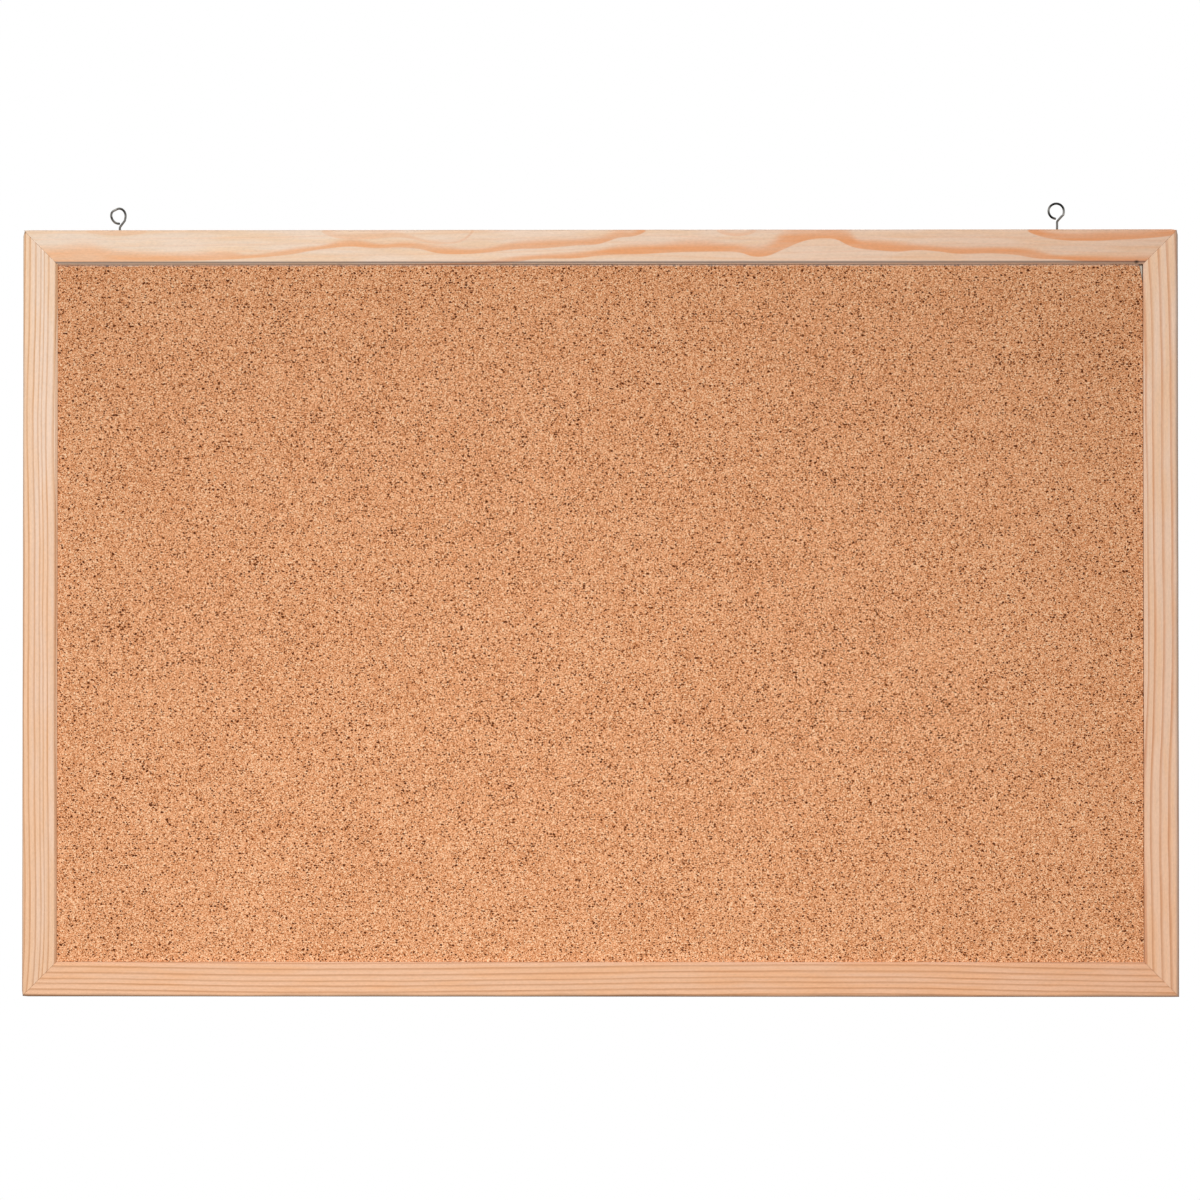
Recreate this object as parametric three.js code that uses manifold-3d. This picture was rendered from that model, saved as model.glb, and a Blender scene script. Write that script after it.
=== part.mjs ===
// A framed cork notice board: four mitred pine rails round a softboard panel with a cork sheet inlaid
// in the opening, and two wire screw eyes on top to hang it by. Millimetres, +Z up. The board faces -Y
// and its back lies in the wall plane Y = 0. The origin is in that plane, at the middle of the top
// rail's back face.

import * as THREE from "three";
import { mergeVertices } from "three/addons/utils/BufferGeometryUtils.js";
import Module from "manifold-3d";

const quarterTurn = Math.PI / 2;

// The board's outside, without the screw eyes
const boardWidth = 600;
const boardHeight = 398;

// The pine moulding that all four rails are cut from
const railWidth = 18; // from the outer edge to the edge that frames the cork
const lipThickness = 4; // the wood in front of the panel
const rebateWidth = 5.5; // how far the lip reaches over the panel
const backRecess = 3.7; // from the back of the points to the wall plane
const outerArris = 1.8; // radius of the front outer edge
const backArris = 0.6; // radius of the back outer edge
const innerBevel = 1.3; // the slope down to the cork
const arrisSegments = 6;
const mitreGap = 0.2; // the glue line between two mitred ends

// The panel: softboard behind the lip, with the cork on its front and a kraft liner on its back
const corkThickness = 2;
const coreThickness = 7;
const linerThickness = 0.5;
const panelClearance = 0.8; // between the panel's edge and the rebate's wall
const glueLine = 0.1; // between two layers, and between a layer and what holds it

// The cork sheet is cut a little small for the opening, and its top right corner is trimmed
const corkGapTop = 0.3;
const corkGapRight = 0.5;
const corkGapBottom = 0.2;
const corkGapLeft = 0.2;
const cornerTrimWidth = 1.9;
const cornerTrimHeight = 10;

// The steel points that hold the panel in the rebate
const pointWidth = 12;
const pointLength = 11;
const pointThickness = 0.5;
const pointDriven = 5; // how much of its length is in the wood
const pointTaper = 2.5; // the corners cut off its driven end
const pointShoulder = 1; // the corners cut off its free end
const pointsOnRail = 3;
const pointsOnStile = 2;
const slotClearance = 0.1; // round a driven point or nail

// The V-shaped nails across the back of each mitre
const nailLeg = 5;
const nailThickness = 0.5;
const nailHeight = 7;
const nailSink = 0.3; // below the back face
const firstNailInset = 2.2; // from both outer edges to the outer nail's corner
const nailSpacing = 4.2; // from one nail to the next, the same both ways
const nailsPerMitre = 2;

// The screw eyes, bent from one wire with its lower end threaded
const wireRadius = 0.6;
const loopRadius = 4; // to the middle of the wire
const shankBendRadius = 1.6;
const plainShank = 3; // the straight wire between the bend and the first thread
const woodUnderTip = 1.6; // left under the deeper eye, over the rebate
const threadPitch = 0.9;
const threadCrest = 0.66; // radius
const threadRoot = 0.44; // radius
const threadLead = 0.8; // over which the thread fades into the plain wire
const tipLength = 2;
const tipRadius = 0.12;
const wireSides = 10;
const stepsPerPitch = 6;
const bendSteps = 5;
const loopSteps = 34;
const endSteps = 2; // rings that round the wire's cut end
const pilotClearance = 0.1; // round the thread's crest, and past its tip
const pilotSides = 16;

// Each eye, in millimetres and degrees: the distance from its own end of the board, how far its loop
// clears the top edge, how far the loop's centre lies aside of the shank, how far the wire slants from
// the shank to the loop, how far the eye is turned about its shank, and the gap that its cut end leaves
const eyes = [
  { name: "screw_eye_left", side: -1, fromEnd: 49.7, clear: 3.3, aside: -0.65, slant: 36, turn: 14, gap: 0.12 },
  { name: "screw_eye_right", side: 1, fromEnd: 62.3, clear: 5.45, aside: -0.5, slant: 42, turn: 0, gap: 0.34 },
];

// A cutter runs this far past the face that it opens
const overrun = 1;
const mergeDistance = 1e-4;

// Sizes that follow from those above
const railDepth =
  lipThickness + coreThickness + linerThickness + pointThickness + 3 * glueLine + backRecess;
const backFaceWidth = railWidth - rebateWidth;
const lipBack = lipThickness - railDepth;
const mitreSetback = mitreGap / Math.SQRT2;
const sightWidth = boardWidth - 2 * railWidth;
const sightHeight = boardHeight - 2 * railWidth;
const panelWidth = sightWidth + 2 * (rebateWidth - panelClearance);
const panelHeight = sightHeight + 2 * (rebateWidth - panelClearance);
const coreFront = lipBack + glueLine;
const corkBack = coreFront - glueLine;
const coreBack = coreFront + coreThickness;
const linerBack = coreBack + glueLine + linerThickness;
const pointBack = linerBack + glueLine + pointThickness;
const eyeDepth = -railDepth / 2; // the shanks stand on the middle of the top edge
const eyeLength = backFaceWidth - woodUnderTip + Math.min(...eyes.map(standing)); // loop's centre to tip

const materials = {
  pine: new THREE.MeshStandardMaterial({ color: 0xe6bc98, roughness: 0.62, metalness: 0 }),
  cork: new THREE.MeshStandardMaterial({ color: 0xd3976f, roughness: 0.92, metalness: 0 }),
  softboard: new THREE.MeshStandardMaterial({ color: 0xb4afa6, roughness: 0.95, metalness: 0 }),
  kraft: new THREE.MeshStandardMaterial({ color: 0xb08d64, roughness: 0.85, metalness: 0 }),
  blankSteel: new THREE.MeshStandardMaterial({ color: 0x9a9a98, roughness: 0.4, metalness: 1 }),
  platedWire: new THREE.MeshStandardMaterial({ color: 0xa9a6a2, roughness: 0.25, metalness: 1 }),
};

const wasm = await Module();
wasm.setup();

// A closed geometry as a solid that can be cut
function solidOf(geometry) {
  const bare = geometry.index ? geometry.toNonIndexed() : geometry.clone();
  bare.deleteAttribute("normal");
  bare.deleteAttribute("uv");
  const merged = mergeVertices(bare, mergeDistance);
  const mesh = new wasm.Mesh({
    numProp: 3,
    vertProperties: merged.attributes.position.array,
    triVerts: new Uint32Array(merged.index.array),
  });
  return new wasm.Manifold(mesh);
}

// The geometry less each of the cutters
function cut(geometry, cutters) {
  let solid = solidOf(geometry);
  for (const cutter of cutters) solid = solid.subtract(solidOf(cutter));
  const mesh = solid.getMesh();
  const left = new THREE.BufferGeometry();
  left.setAttribute("position", new THREE.BufferAttribute(new Float32Array(mesh.vertProperties), 3));
  left.setIndex(new THREE.BufferAttribute(new Uint32Array(mesh.triVerts), 1));
  left.computeVertexNormals();
  return left;
}

// A flat shape drawn in X and Z, given a thickness from the depth front back to the depth back
function plate(shape, front, back) {
  const thickness = back - front;
  const geometry = new THREE.ExtrudeGeometry(shape, { depth: thickness, bevelEnabled: false });
  return geometry.rotateX(quarterTurn).translate(0, back, 0);
}

function outline(points) {
  return new THREE.Shape(points.map(([x, z]) => new THREE.Vector2(x, z)));
}

// The moulding's section: across it from the outer edge at 0, and in Y from the front to the back at 0
function mouldingSection() {
  const front = -railDepth;
  const section = new THREE.Shape();
  section.moveTo(backArris, 0);
  section.lineTo(backFaceWidth, 0);
  section.lineTo(backFaceWidth, lipBack);
  section.lineTo(railWidth, lipBack);
  section.lineTo(railWidth, front + innerBevel);
  section.lineTo(railWidth - innerBevel, front);
  section.lineTo(outerArris, front);
  section.absarc(outerArris, front + outerArris, outerArris, -quarterTurn, -2 * quarterTurn, true);
  section.lineTo(0, -backArris);
  section.absarc(backArris, -backArris, backArris, 2 * quarterTurn, quarterTurn, true);
  return section;
}

// A length of moulding along X with both ends mitred. Its outer edge is at Z = 0 and its wood is below.
function mitredLength(length) {
  const geometry = new THREE.ExtrudeGeometry(mouldingSection(), {
    depth: length,
    curveSegments: arrisSegments,
    bevelEnabled: false,
  });
  geometry.translate(0, 0, -length / 2).rotateY(quarterTurn);
  const position = geometry.attributes.position;
  for (let i = 0; i < position.count; i += 1) {
    const fromOuterEdge = -position.getZ(i);
    const reach = length / 2 - fromOuterEdge - mitreSetback;
    position.setX(i, Math.sign(position.getX(i)) * reach);
  }
  return geometry;
}

// A nail seen from behind, in a corner whose outer edges meet at 0, 0: an angle whose legs run along the
// two rails. Its slot is the same outline grown by the clearance.
function nailOutline(inset, grow) {
  const corner = -inset + grow;
  const inside = -inset - nailThickness - grow;
  const end = -inset - nailLeg - grow;
  return outline([
    [corner, corner],
    [end, corner],
    [end, inside],
    [inside, inside],
    [inside, end],
    [corner, end],
  ]);
}

function nailInset(index) {
  return firstNailInset + index * nailSpacing;
}

function nailSlot(index) {
  const bottom = -nailSink - nailHeight - slotClearance;
  return plate(nailOutline(nailInset(index), slotClearance), bottom, overrun);
}

// A point seen from behind, with the rebate's wall at Z = 0 and its free end below
function pointOutline(grow) {
  const half = pointWidth / 2 + grow;
  const driven = pointDriven + grow;
  const free = -(pointLength - pointDriven) - grow;
  return outline([
    [-half, driven - pointTaper],
    [-half + pointTaper, driven],
    [half - pointTaper, driven],
    [half, driven - pointTaper],
    [half, free + pointShoulder],
    [half - pointShoulder, free],
    [-half + pointShoulder, free],
    [-half, free + pointShoulder],
  ]);
}

// The slot that a point is driven into, in the frame of its rail
function pointSlot(along) {
  const front = pointBack - pointThickness - slotClearance;
  const slot = plate(pointOutline(slotClearance), front, pointBack + slotClearance);
  return slot.translate(along, 0, -backFaceWidth);
}

// Places along a rail, evenly spread, measured from its middle
function spread(count, length) {
  return Array.from({ length: count }, (_, i) => ((i + 1) / (count + 1) - 0.5) * length);
}

function eyeAlong(eye) {
  return eye.side * (boardWidth / 2 - eye.fromEnd);
}

// How far a loop's centre stands over the top edge
function standing(eye) {
  return eye.clear + wireRadius + loopRadius;
}

// The hole that an eye is screwed into, in the frame of the top rail
function pilotHole(eye) {
  const radius = (threadCrest + pilotClearance) / Math.cos(Math.PI / pilotSides);
  const depth = eyeLength - standing(eye) + pilotClearance;
  const hole = new THREE.CylinderGeometry(radius, radius, depth + overrun, pilotSides);
  hole.rotateX(quarterTurn);
  return hole.translate(eyeAlong(eye), eyeDepth, (overrun - depth) / 2);
}

// The wire's middle line in its own plane, from the tip up to the cut end. The shank is on X = 0 and the
// loop's centre at the height 0. Each step has its place, its heading from straight up towards +X, its
// distance up from the tip while it is threaded, and the share of the radius that it keeps.
function wireLine(eye) {
  const slant = THREE.MathUtils.degToRad(eye.slant);
  const offSlant = 2 * wireRadius + eye.gap; // from the slanted wire's middle to the cut end's
  const end = 4 * quarterTurn - slant - Math.acos(1 - offSlant / loopRadius);
  const slantFoot = -(loopRadius + eye.aside * Math.cos(slant)) / Math.sin(slant); // on the shank's line
  const bendStart = slantFoot - shankBendRadius * Math.tan(slant / 2);
  const threadLength = eyeLength + bendStart - plainShank;
  const threadSteps = Math.round((threadLength / threadPitch) * stepsPerPitch);
  const line = [];
  for (let i = 0; i <= threadSteps; i += 1) {
    const up = (i / threadSteps) * threadLength;
    line.push({ x: 0, z: up - eyeLength, heading: 0, up, threadLength, radiusShare: 1 });
  }
  for (let i = 0; i <= bendSteps; i += 1) {
    const heading = (i / bendSteps) * slant;
    const x = shankBendRadius * (1 - Math.cos(heading));
    const z = bendStart + shankBendRadius * Math.sin(heading);
    line.push({ x, z, heading, up: threadLength, threadLength, radiusShare: 1 });
  }
  for (let i = 0; i <= loopSteps; i += 1) {
    const round = -slant + (i / loopSteps) * (end + slant);
    const x = eye.aside + loopRadius * Math.cos(round);
    const z = loopRadius * Math.sin(round);
    line.push({ x, z, heading: -round, up: threadLength, threadLength, radiusShare: 1 });
  }
  const wireEnd = line.at(-1);
  for (let i = 1; i <= endSteps; i += 1) {
    const bow = (i / (endSteps + 1)) * quarterTurn;
    const x = wireEnd.x + wireRadius * Math.sin(bow) * Math.sin(wireEnd.heading);
    const z = wireEnd.z + wireRadius * Math.sin(bow) * Math.cos(wireEnd.heading);
    line.push({ ...wireEnd, x, z, radiusShare: Math.cos(bow) });
  }
  return line;
}

// The wire's radius at one step of its middle line and a share of a turn round it. On the thread a sharp
// crest winds up the root, fading into the plain wire above and tapering to the tip below. From there on
// the wire is round, and it keeps the step's share of its radius.
function wireRadiusAt({ up, threadLength, radiusShare }, turn) {
  if (up >= threadLength) return wireRadius * radiusShare;
  const phase = up / threadPitch - turn;
  const toCrest = Math.abs((phase - Math.floor(phase)) * 2 - 1);
  const threaded = threadRoot + (threadCrest - threadRoot) * (1 - toCrest);
  const plain = THREE.MathUtils.clamp(1 - (threadLength - up) / threadLead, 0, 1);
  const radius = THREE.MathUtils.lerp(threaded, wireRadius, plain);
  const taper = THREE.MathUtils.clamp(up / tipLength, 0, 1);
  return THREE.MathUtils.lerp(tipRadius, radius, taper);
}

// A screw eye as one closed skin over rings of points along its wire
function screwEye(eye) {
  const line = wireLine(eye);
  const places = [];
  const faces = [];
  for (const step of line) {
    for (let side = 0; side < wireSides; side += 1) {
      const turn = side / wireSides;
      const radius = wireRadiusAt(step, turn);
      const across = radius * Math.cos(turn * 2 * Math.PI);
      const deep = radius * Math.sin(turn * 2 * Math.PI);
      places.push(step.x + across * Math.cos(step.heading), deep, step.z - across * Math.sin(step.heading));
    }
  }
  for (let ring = 0; ring + 1 < line.length; ring += 1) {
    for (let side = 0; side < wireSides; side += 1) {
      const a = ring * wireSides + side;
      const b = ring * wireSides + ((side + 1) % wireSides);
      faces.push(a, b, b + wireSides, a, b + wireSides, a + wireSides);
    }
  }
  for (const [ring, reversed] of [[0, true], [line.length - 1, false]]) {
    const middle = places.length / 3;
    places.push(line[ring].x, 0, line[ring].z);
    for (let side = 0; side < wireSides; side += 1) {
      const a = ring * wireSides + side;
      const b = ring * wireSides + ((side + 1) % wireSides);
      faces.push(...(reversed ? [middle, b, a] : [middle, a, b]));
    }
  }
  const geometry = new THREE.BufferGeometry();
  geometry.setAttribute("position", new THREE.Float32BufferAttribute(places, 3));
  geometry.setIndex(faces);
  geometry.computeVertexNormals();
  return geometry;
}

// The cork sheet, seen from the front with the board's centre at 0, 0
function corkOutline() {
  const left = -sightWidth / 2 + corkGapLeft;
  const right = sightWidth / 2 - corkGapRight;
  const bottom = -sightHeight / 2 + corkGapBottom;
  const top = sightHeight / 2 - corkGapTop;
  return outline([
    [left, bottom],
    [right, bottom],
    [right, top - cornerTrimHeight],
    [right - cornerTrimWidth, top],
    [left, top],
  ]);
}

function named(name, geometry, material) {
  const mesh = new THREE.Mesh(geometry, material);
  mesh.name = name;
  return mesh;
}

const board = new THREE.Group(); // its own centre is the board's, in the wall plane
board.position.z = backFaceWidth / 2 - boardHeight / 2;

// The four sides of the frame, each turned so that its outer edge faces out
const sides = [
  { name: "top_rail", turn: 0, length: boardWidth, out: boardHeight / 2, points: pointsOnRail, eyes },
  { name: "right_stile", turn: 1, length: boardHeight, out: boardWidth / 2, points: pointsOnStile, eyes: [] },
  { name: "bottom_rail", turn: 2, length: boardWidth, out: boardHeight / 2, points: pointsOnRail, eyes: [] },
  { name: "left_stile", turn: 3, length: boardHeight, out: boardWidth / 2, points: pointsOnStile, eyes: [] },
];

for (const side of sides) {
  const holder = new THREE.Group();
  const along = spread(side.points, side.length);
  const cutters = [...along.map(pointSlot), ...side.eyes.map(pilotHole)];
  for (let i = 0; i < nailsPerMitre; i += 1) {
    cutters.push(nailSlot(i).translate(side.length / 2, 0, 0));
    cutters.push(nailSlot(i).rotateY(-quarterTurn).translate(-side.length / 2, 0, 0));
  }
  holder.add(named(side.name, cut(mitredLength(side.length), cutters), materials.pine));
  along.forEach((place, i) => {
    const point = plate(pointOutline(0), pointBack - pointThickness, pointBack);
    const mesh = named(`${side.name}_point_${i + 1}`, point, materials.blankSteel);
    mesh.position.set(place, 0, -backFaceWidth);
    holder.add(mesh);
  });
  holder.rotation.y = side.turn * quarterTurn;
  holder.position.set(0, 0, side.out).applyEuler(holder.rotation);
  board.add(holder);
}

// The corners, going round the same way as the sides
const corners = [
  { name: "top_right", turn: 0, x: 1, z: 1 },
  { name: "bottom_right", turn: 1, x: 1, z: -1 },
  { name: "bottom_left", turn: 2, x: -1, z: -1 },
  { name: "top_left", turn: 3, x: -1, z: 1 },
];

for (const corner of corners) {
  const holder = new THREE.Group();
  for (let i = 0; i < nailsPerMitre; i += 1) {
    const nail = plate(nailOutline(nailInset(i), 0), -nailSink - nailHeight, -nailSink);
    holder.add(named(`${corner.name}_mitre_nail_${i + 1}`, nail, materials.blankSteel));
  }
  holder.rotation.y = corner.turn * quarterTurn;
  holder.position.set((corner.x * boardWidth) / 2, 0, (corner.z * boardHeight) / 2);
  board.add(holder);
}

const corkSheet = plate(corkOutline(), corkBack - corkThickness, corkBack);
const cork = named("cork_sheet", corkSheet, materials.cork);
const coreBox = new THREE.BoxGeometry(panelWidth, coreThickness, panelHeight);
const core = named("softboard_core", coreBox, materials.softboard);
core.position.y = coreFront + coreThickness / 2;
const linerBox = new THREE.BoxGeometry(panelWidth, linerThickness, panelHeight);
const liner = named("kraft_back_liner", linerBox, materials.kraft);
liner.position.y = linerBack - linerThickness / 2;
board.add(cork, core, liner);

for (const eye of eyes) {
  const mesh = named(eye.name, screwEye(eye), materials.platedWire);
  mesh.position.set(eyeAlong(eye), eyeDepth, boardHeight / 2 + standing(eye));
  mesh.rotation.z = THREE.MathUtils.degToRad(eye.turn);
  board.add(mesh);
}

const corkBoard = new THREE.Group();
corkBoard.add(board);

export default corkBoard;
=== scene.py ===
# A framed cork notice board: four mitred pine rails round a cork faced softboard panel, hung by two screw
# eyes. Metres, Z up. The board faces -Y and its back is at Y = 0. Materials' patterns are in millimetres.

from functools import partial
from math import acos, cos, pi, radians, sin, sqrt, tan

import bmesh
import bpy
import numpy as np
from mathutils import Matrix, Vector


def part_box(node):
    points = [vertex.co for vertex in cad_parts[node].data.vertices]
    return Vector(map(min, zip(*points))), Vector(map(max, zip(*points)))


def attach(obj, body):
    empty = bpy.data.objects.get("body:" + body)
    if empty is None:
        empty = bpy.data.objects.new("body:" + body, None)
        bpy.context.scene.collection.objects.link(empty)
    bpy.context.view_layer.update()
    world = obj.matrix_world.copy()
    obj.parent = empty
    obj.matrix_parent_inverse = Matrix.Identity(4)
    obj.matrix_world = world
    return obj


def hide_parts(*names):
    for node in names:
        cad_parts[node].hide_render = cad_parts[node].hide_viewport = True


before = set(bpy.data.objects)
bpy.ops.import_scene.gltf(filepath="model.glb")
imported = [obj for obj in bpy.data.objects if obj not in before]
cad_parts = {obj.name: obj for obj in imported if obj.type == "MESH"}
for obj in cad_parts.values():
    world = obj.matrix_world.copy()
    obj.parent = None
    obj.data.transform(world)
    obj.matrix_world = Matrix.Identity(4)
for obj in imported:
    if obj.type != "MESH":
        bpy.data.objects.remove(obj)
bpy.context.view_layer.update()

mm = 0.001
scene = bpy.context.scene
scene.view_settings.view_transform = "Standard"


# Small tools

def toLinear(hexColour):
    # sRGB to linear: c / 12.92 up to 0.04045, and ((c + 0.055) / 1.055) ^ 2.4 above it
    channels = np.array([int(hexColour[i : i + 2], 16) for i in (1, 3, 5)]) / 255
    bright = ((channels + 0.055) / 1.055) ** 2.4
    return (*np.where(channels <= 0.04045, channels / 12.92, bright).tolist(), 1.0)


def addNode(tree, kind, inputs=(), operation=None, stops=None, points=None, **properties):
    # Adds a node with its properties and inputs, a dictionary or a list in the sockets' order. An input is
    # a value, or another node or its output to link. Stops fill a colour ramp and points a float curve.
    node = tree.nodes.new("ShaderNode" + kind)
    if operation:
        node.operation = operation
    for name, value in properties.items():
        setattr(node, name, value)
    for socket, value in inputs.items() if isinstance(inputs, dict) else enumerate(inputs):
        if isinstance(value, bpy.types.Node):
            value = next(output for output in value.outputs if output.enabled)
        if isinstance(value, bpy.types.NodeSocket):
            tree.links.new(value, node.inputs[socket])
        else:
            node.inputs[socket].default_value = value
    if stops:
        elements = node.color_ramp.elements
        elements.remove(elements[1])
        elements[0].position = stops[0][0]
        elements[0].color = toLinear(stops[0][1])
        for position, colour in stops[1:]:
            elements.new(position).color = toLinear(colour)
    if points:
        node.mapping.use_clip = False
        curve = node.mapping.curves[0]
        curve.points[0].location = points[0]
        curve.points[1].location = points[-1]
        for place in points[1:-1]:
            curve.points.new(*place)
        node.mapping.update()
    return node


def newMaterial(name):
    # An empty material, the call that adds its nodes, and the object's own coordinates in millimetres
    material = bpy.data.materials.new(name)
    material.use_nodes = True
    material.node_tree.nodes.clear()
    add = partial(addNode, material.node_tree)
    place = add("TexCoord").outputs["Object"]
    return material, add, add("Mapping", {"Vector": place, "Scale": (1 / mm, 1 / mm, 1 / mm)})


def addPattern(add, place, size, detail, roughness, distortion=0):
    # Uneven patches about as long as a size, which is one number or a length along each axis
    scale = (1 / (np.ones(3) * size)).tolist()
    noise = {"Vector": add("Mapping", {"Vector": place, "Scale": scale}), "Scale": 1}
    return add("TexNoise", {**noise, "Detail": detail, "Roughness": roughness, "Distortion": distortion})


def addSurface(add, colour, roughness, relief, strength, depth, metallic=0):
    # The end of a material: a bump of the relief, so deep, the shader and the output
    bump = add("Bump", {"Strength": strength, "Distance": depth, "Height": relief})
    looks = {"Base Color": colour, "Metallic": metallic, "Roughness": roughness, "Normal": bump}
    add("OutputMaterial", {"Surface": add("BsdfPrincipled", looks)})


def addMetal(add, lines, patches, stops, tones, roughness, paintedReflection=1):
    # The end of a metal: patches give its shade, and fine lines its tone, roughness and relief. A factor,
    # the wire's painted reflection and shade, scales the tone.
    tone = add("Math", [add("MapRange", [lines, 0.3, 0.7, *tones]), paintedReflection], "MULTIPLY")
    colour = add("VectorMath", {0: add("ValToRGB", [patches], stops=stops), "Scale": tone}, "SCALE")
    rough = add("MapRange", [lines, 0.3, 0.7, *roughness])
    addSurface(add, colour, rough, lines, strength=0.4, depth=0.01 * mm, metallic=1)


def newMesh(name, places, faces):
    mesh = bpy.data.meshes.new(name)
    mesh.from_pydata(places, [], faces)
    mesh.update()
    return mesh


def newObject(name, data):
    item = bpy.data.objects.new(name, data)
    scene.collection.objects.link(item)
    return item


def addPiece(name, mesh, material, node, sharpAngle):
    # Puts a new piece in the place of a CAD node, smooth but for the edges sharper than the angle
    mesh.materials.clear()
    mesh.materials.append(material)
    mesh.shade_smooth()
    mesh.set_sharp_from_angle(angle=radians(sharpAngle))
    piece = newObject(name, mesh)
    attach(piece, "root")
    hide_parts(node)
    return piece


def gridFaces(rows, columns, closed=False):
    # One quad between each grid point and its next neighbours; closed joins the last column to the first
    index = np.arange(rows * columns).reshape(rows, columns)
    near = index if closed else index[:, :-1]
    far = np.roll(index, -1, axis=1) if closed else index[:, 1:]
    quads = np.stack([near[:-1], far[:-1], far[1:], near[1:]], axis=-1)
    return quads.reshape(-1, 4).tolist()


def tubeFaces(rows, sides):
    # The faces of rings joined into a closed tube, with one face over each end
    ends = [list(range(sides))[::-1], list(range((rows - 1) * sides, rows * sides))]
    return gridFaces(rows, sides, closed=True) + ends


def edgeRing(rows, columns):
    # The grid points round a grid's edge, in order
    index = np.arange(rows * columns).reshape(rows, columns)
    return np.concatenate([index[0, :-1], index[:-1, -1], index[-1, :0:-1], index[:0:-1, 0]])


def wallFaces(ring, behind):
    # A wall of quads from a ring of points to the ring behind it
    return np.stack([np.roll(ring, -1), ring, behind, np.roll(behind, -1)], axis=-1).tolist()


def turnBy(a, b, angle):
    # The pair (a, b) turned by an angle: a cos - b sin, a sin + b cos
    return a * cos(angle) - b * sin(angle), a * sin(angle) + b * cos(angle)


def waves(place, lengths, seed):
    # A smooth uneven line: the mean of sin(2 pi place / length + phase) over the lengths, phases by seed
    phases = np.random.default_rng(seed).uniform(0, 2 * pi, len(lengths))
    heights = [np.sin(2 * pi * place / length + phase) for length, phase in zip(lengths, phases)]
    return sum(heights) / len(lengths)


# The board's main places, all from the frame

topLow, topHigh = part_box("top_rail")
bottomLow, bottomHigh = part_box("bottom_rail")
board = {
    "width": topHigh.x - topLow.x,
    "height": topHigh.z - bottomLow.z,
    "front": topLow.y,
    "railWidth": topHigh.z - topLow.z,
    "middle": Vector((0, 0, (topHigh.z + bottomLow.z) / 2)),
}


# Camera, placed on the photograph's own line of sight: a little right of the middle and a little low

camera = {
    "distance": 3.0,
    "yaw": radians(0.637),
    "pitch": radians(-0.98),
    "aimAcross": 0.02 * mm,
    "aimUp": 6.57 * mm,  # over the board's middle
    "lens": 173.55,
}


def addCamera():
    lens = bpy.data.cameras.new("camera")
    lens.lens = camera["lens"]
    eye = newObject("camera", lens)
    yaw, pitch = camera["yaw"], camera["pitch"]
    middle = board["middle"] + Vector((0, board["front"], 0))
    towards = Vector((sin(yaw) * cos(pitch), -cos(yaw) * cos(pitch), sin(pitch)))
    eye.location = middle + camera["distance"] * towards
    aim = middle + Vector((camera["aimAcross"], 0, camera["aimUp"]))
    eye.rotation_euler = (aim - eye.location).to_track_quat("-Z", "Y").to_euler()
    scene.camera = eye


addCamera()
print("camera")


# Studio: a dim world that the camera, mirrors and glass see as white, a soft key lamp in front, high and a
# little left, aimed at the board's lower half, and a lamp behind. Both are placed from the board's middle.

studio = {
    "ambient": 0.28,
    "ambientColour": "#fffdfa",
    "floorDrop": 0.9,  # under the board
    "floorSize": 7.0,
    "floorColour": "#f3f1ee",
    "floorShade": "#767574",  # what the floor throws back up
}
lamps = [
    {
        "name": "key", "power": 7.9, "size": 0.8, "spread": 53,
        "place": (-0.5, -2.5, 0.9), "aim": (-0.02, 0, -0.54),
    },
    {
        "name": "back", "power": 110, "size": 1.6, "spread": 180,
        "place": (1.5, 2.6, 1.8), "aim": (0, 0, 0),
    },
]


def addStudio():
    world = bpy.data.worlds.new("studio")
    scene.world = world
    world.use_nodes = True
    world.node_tree.nodes.clear()
    add = partial(addNode, world.node_tree)
    ray = add("LightPath")
    seen = add("Math", [ray.outputs["Is Camera Ray"], ray.outputs["Is Glossy Ray"]], "ADD")
    seen = add("Math", [seen, ray.outputs["Is Transmission Ray"]], "ADD", use_clamp=True)
    ambient = toLinear(studio["ambientColour"])
    light = add("Background", {"Color": ambient, "Strength": studio["ambient"]})
    white = add("Background", {"Color": (1, 1, 1, 1), "Strength": 1})
    add("OutputWorld", {"Surface": add("MixShader", [seen, light, white])})

    for lamp in lamps:
        light = bpy.data.lights.new(lamp["name"], "AREA")
        light.energy = lamp["power"]
        light.size = lamp["size"]
        light.spread = radians(lamp["spread"])
        holder = newObject(lamp["name"], light)
        holder.location = board["middle"] + Vector(lamp["place"])
        aim = Vector(lamp["aim"]) - Vector(lamp["place"])
        holder.rotation_euler = aim.to_track_quat("-Z", "Y").to_euler()
        holder.visible_camera = False
        holder.visible_glossy = False

    half = studio["floorSize"] / 2
    level = bottomLow.z - studio["floorDrop"]
    corners = [(-half, -half, level), (half, -half, level), (half, half, level), (-half, half, level)]
    floor = newObject("floor", newMesh("floor", corners, [[0, 1, 2, 3]]))
    material, add, place = newMaterial("floor, matt paper")
    seen = add("LightPath").outputs["Is Camera Ray"]
    colours = [toLinear(studio[name]) for name in ("floorShade", "floorColour")]
    colour = add("Mix", {0: seen, 6: colours[0], 7: colours[1]}, data_type="RGBA")
    shader = add("BsdfPrincipled", {"Base Color": colour, "Roughness": 0.9})
    add("OutputMaterial", {"Surface": shader})
    floor.data.materials.append(material)


addStudio()
print("studio")


# Screw eyes, bent from zinc plated wire

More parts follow.
